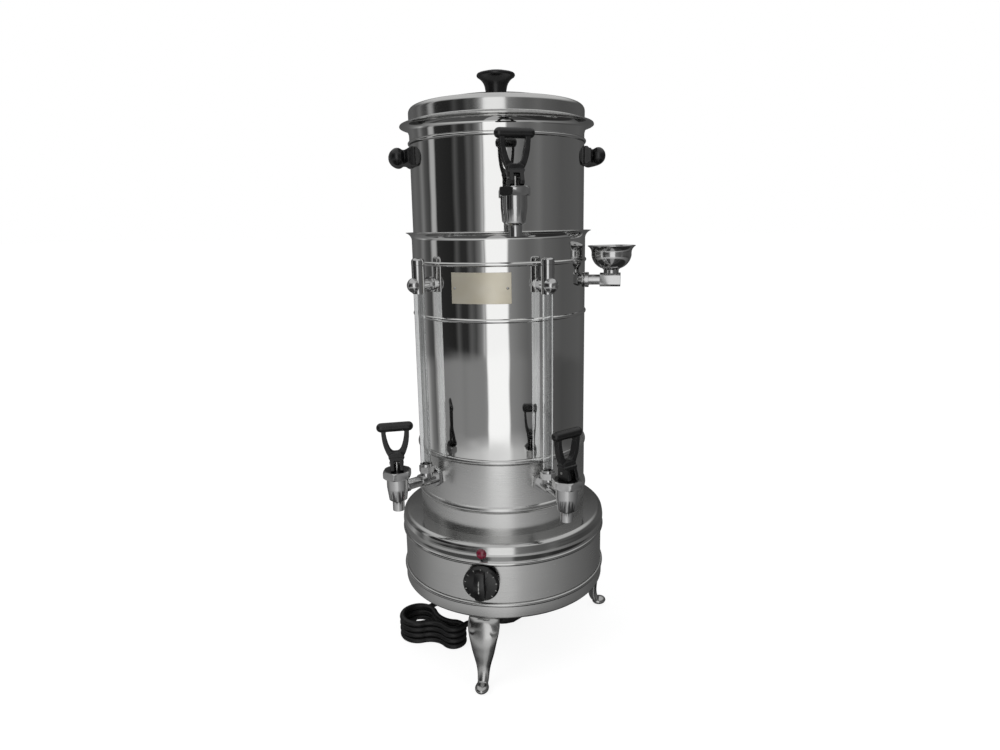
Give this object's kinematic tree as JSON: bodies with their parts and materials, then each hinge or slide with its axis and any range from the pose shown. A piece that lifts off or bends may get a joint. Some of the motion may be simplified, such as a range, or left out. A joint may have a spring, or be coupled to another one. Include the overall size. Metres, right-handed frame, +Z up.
{
  "type": "coffee urn",
  "caption": "Tall polished coffee urn on an electric base: lift-out pot with lid, water jacket with filling funnel, gauge glasses and self-closing lever taps.",
  "frame": {"origin": "on the worktop, under the tank's axis", "axes": "+Z up, -Y to the front with the thermostat knob, +X to the side with the filling funnel"},
  "size_m": [0.285, 0.2722, 0.6785],
  "materials": {
    "polished_steel": "stainless sheet polished to a mirror",
    "satin_steel": "stainless sheet, satin brushed round",
    "zinc_steel": "plain steel screws, rivets, stems and springs",
    "chrome_brass": "turned brass with bright chrome plate",
    "cast_aluminium": "cast and buffed",
    "plate_metal": "bare pale champagne plate",
    "black_bakelite": "pressed black thermoset, semi-gloss",
    "dark_plastic": "moulded switch case",
    "red_lens": "clear dark red lens",
    "clear_glass": "clear drawn tube",
    "black_rubber": "matt black cable sheath",
    "seal_rubber": "dark seal rubber"
  },
  "bodies": {
    "root": {"base_cover": "polished_steel", "base_pan": "satin_steel", "base_wall": "satin_steel", "funnel_cup": "chrome_brass", "funnel_elbow": "chrome_brass", "funnel_nut": "chrome_brass", "gauge_caps": "chrome_brass", "gauge_glands": "chrome_brass", "heating_plate": "cast_aluminium", "inner_well": "polished_steel", "lead_hank": "black_rubber", "lead_strain_relief": "black_rubber", "left_gauge_glass": "clear_glass", "left_gauge_head": "chrome_brass", "left_gauge_tee": "chrome_brass", "left_tap_body": "chrome_brass", "left_tap_bonnet": "chrome_brass", "left_tap_spring": "zinc_steel", "leg_front": "cast_aluminium", "leg_left": "cast_aluminium", "leg_right": "cast_aluminium", "leg_screws": "zinc_steel", "mains_lead": "black_rubber", "name_plate": "plate_metal", "name_plate_rivets": "zinc_steel", "pilot_light": "red_lens", "plug_body": "black_rubber", "plug_pins": "chrome_brass", "right_gauge_glass": "clear_glass", "right_gauge_head": "chrome_brass", "right_gauge_tee": "chrome_brass", "right_tap_body": "chrome_brass", "right_tap_bonnet": "chrome_brass", "right_tap_spring": "zinc_steel", "shank_nuts": "chrome_brass", "tank_shell": "polished_steel", "tank_skirt": "satin_steel", "tap_cam_plates": "black_bakelite", "thermostat": "dark_plastic"},
    "pot": {"pot_shell": "polished_steel", "pot_handle_left": "black_bakelite", "pot_handle_right": "black_bakelite", "pot_handle_screws": "zinc_steel", "upper_tap_body": "chrome_brass", "upper_tap_bonnet": "chrome_brass", "upper_tap_spring": "zinc_steel", "upper_tap_cam_plate": "black_bakelite", "upper_tap_lock_nut": "chrome_brass"},
    "lid": {"lid": "satin_steel", "lid_knob": "black_bakelite"},
    "thermostat_knob": {"thermostat_knob": "black_bakelite"},
    "left_tap_stem": {"left_tap_stem": "zinc_steel", "left_tap_seat_cup": "seal_rubber"},
    "left_tap_handle": {"left_tap_handle": "black_bakelite"},
    "right_tap_stem": {"right_tap_stem": "zinc_steel", "right_tap_seat_cup": "seal_rubber"},
    "right_tap_handle": {"right_tap_handle": "black_bakelite"},
    "upper_tap_stem": {"upper_tap_stem": "zinc_steel", "upper_tap_seat_cup": "seal_rubber"},
    "upper_tap_handle": {"upper_tap_handle": "black_bakelite"}
  },
  "joints": [
    {"name": "pot_lift", "type": "slide", "parent": "root", "child": "pot", "axis": [0, 0, 1], "range_m": [0, 0.12]},
    {"name": "lid_lift", "type": "slide", "parent": "pot", "child": "lid", "axis": [0, 0, 1], "range_m": [0, 0.08]},
    {"name": "thermostat_turn", "type": "hinge", "parent": "root", "child": "thermostat_knob", "pos_m": [0, -0.126, 0.1284], "axis": [0, 1, 0], "range_deg": [0, 270]},
    {"name": "left_tap_lift", "type": "slide", "parent": "root", "child": "left_tap_stem", "axis": [0, 0, 1], "range_m": [0, 0.0031], "deforming": ["left_tap_spring"]},
    {"name": "left_tap_pull", "type": "hinge", "parent": "left_tap_stem", "child": "left_tap_handle", "pos_m": [-0.09268, -0.12299, 0.2615], "axis": [0.9205, 0.3907, 0], "range_deg": [0, 35], "stiffness_Nm_per_rad": 0.4, "springref_deg": -11.46},
    {"name": "right_tap_lift", "type": "slide", "parent": "root", "child": "right_tap_stem", "axis": [0, 0, 1], "range_m": [0, 0.0031], "deforming": ["right_tap_spring"]},
    {"name": "right_tap_pull", "type": "hinge", "parent": "right_tap_stem", "child": "right_tap_handle", "pos_m": [0.09268, -0.12299, 0.2615], "axis": [0.6691, 0.7431, 0], "range_deg": [0, 35], "stiffness_Nm_per_rad": 0.4, "springref_deg": -11.46},
    {"name": "upper_tap_lift", "type": "slide", "parent": "pot", "child": "upper_tap_stem", "axis": [0, 0, 1], "range_m": [0, 0.0031], "deforming": ["upper_tap_spring"]},
    {"name": "upper_tap_pull", "type": "hinge", "parent": "upper_tap_stem", "child": "upper_tap_handle", "pos_m": [0.0427, -0.12912, 0.5555], "axis": [0.9184, 0.3955, 0], "range_deg": [0, 35], "stiffness_Nm_per_rad": 0.4, "springref_deg": -11.46}
  ],
  "couplings": [
    {"joint": "left_tap_lift", "follows": "left_tap_pull", "m_per_rad": 0.005},
    {"joint": "right_tap_lift", "follows": "right_tap_pull", "m_per_rad": 0.005},
    {"joint": "upper_tap_lift", "follows": "upper_tap_pull", "m_per_rad": 0.005}
  ]
}
